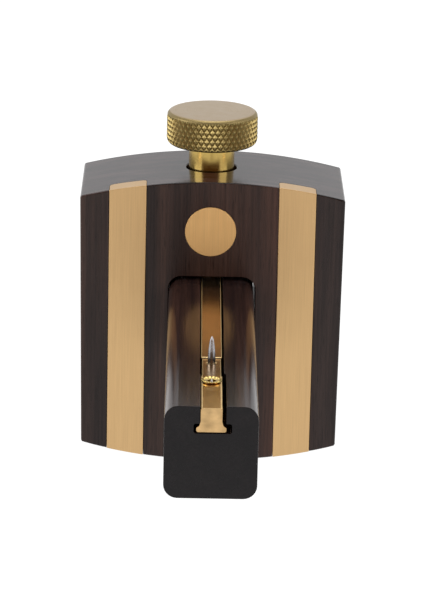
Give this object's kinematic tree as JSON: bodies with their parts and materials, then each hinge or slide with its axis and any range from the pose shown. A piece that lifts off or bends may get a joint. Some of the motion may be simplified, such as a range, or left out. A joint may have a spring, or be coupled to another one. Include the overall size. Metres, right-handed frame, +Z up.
{
  "type": "mortise marking gauge",
  "caption": "Mortise marking gauge: dark hardwood fence with brass wear strips slides on a square stem, locked by a knurled thumbscrew; marking pins on a screw-driven brass slide.",
  "frame": {"origin": "on the surface that the gauge stands on, under the middle of the fence and its clamping screw", "axes": "+Z up, along the clamping screw; +Y along the stem from the marking pins to the adjusting knob; +X across the fence, to the right as seen from the pins"},
  "size_m": [0.066, 0.2222, 0.0878],
  "materials": {
    "ebony": "satin, near black with brown grain",
    "satin_brass": "finely brushed, pale",
    "turned_brass": "turned and knurled",
    "polished_brass": "polished",
    "steel": "ground and polished"
  },
  "bodies": {
    "fence": {"fence_body": "ebony", "wear_strip_left": "satin_brass", "wear_strip_right": "satin_brass", "barrel_nut": "satin_brass"},
    "clamp_pad": {"pressure_pad": "turned_brass"},
    "thumbscrew": {"thumbscrew_knob": "turned_brass", "thumbscrew_collar": "turned_brass", "thumbscrew_stud": "steel"},
    "stem": {"stem": "ebony", "front_block": "polished_brass", "end_plate": "satin_brass", "end_plate_screw_left": "turned_brass", "end_plate_screw_right": "turned_brass"},
    "front_bush": {"front_pin_bush": "polished_brass"},
    "front_pin": {"front_pin": "steel"},
    "slide": {"slide_bar": "polished_brass", "slide_pin": "steel", "slide_nut": "polished_brass", "slide_nut_screw": "steel"},
    "adjuster": {"adjusting_screw": "steel", "thrust_collar": "turned_brass", "adjusting_knob": "turned_brass"}
  },
  "joints": [
    {"name": "stem_slide", "type": "slide", "parent": "fence", "child": "stem", "axis": [0, 1, 0], "range_m": [-0.078, 0.038]},
    {"name": "pad_lift", "type": "slide", "parent": "fence", "child": "clamp_pad", "axis": [0, 0, 1], "range_m": [0, 0.0025]},
    {"name": "thumbscrew_turn", "type": "hinge", "parent": "clamp_pad", "child": "thumbscrew", "pos_m": [-0.0004, 0, 0.0605], "axis": [0, 0, 1], "range_deg": [0, 900]},
    {"name": "slide_travel", "type": "slide", "parent": "stem", "child": "slide", "axis": [0, 1, 0], "range_m": [0, 0.022]},
    {"name": "adjuster_turn", "type": "hinge", "parent": "stem", "child": "adjuster", "pos_m": [0, 0.1, 0.03685], "axis": [0, -1, 0], "range_deg": [0, 7920]},
    {"name": "front_pin_lift", "type": "slide", "parent": "stem", "child": "front_pin", "axis": [0, 0, 1], "range_m": [-0.0005, 0.0055]},
    {"name": "front_bush_turn", "type": "hinge", "parent": "stem", "child": "front_bush", "pos_m": [0, -0.09248, 0.0475], "axis": [0, 0, -1], "range_deg": [-360, 3960]}
  ],
  "couplings": [
    {"joint": "thumbscrew_turn", "follows": "pad_lift", "rad_per_m": 6283.2},
    {"joint": "adjuster_turn", "follows": "slide_travel", "rad_per_m": 6283.2},
    {"joint": "front_bush_turn", "follows": "front_pin_lift", "rad_per_m": 12566}
  ]
}
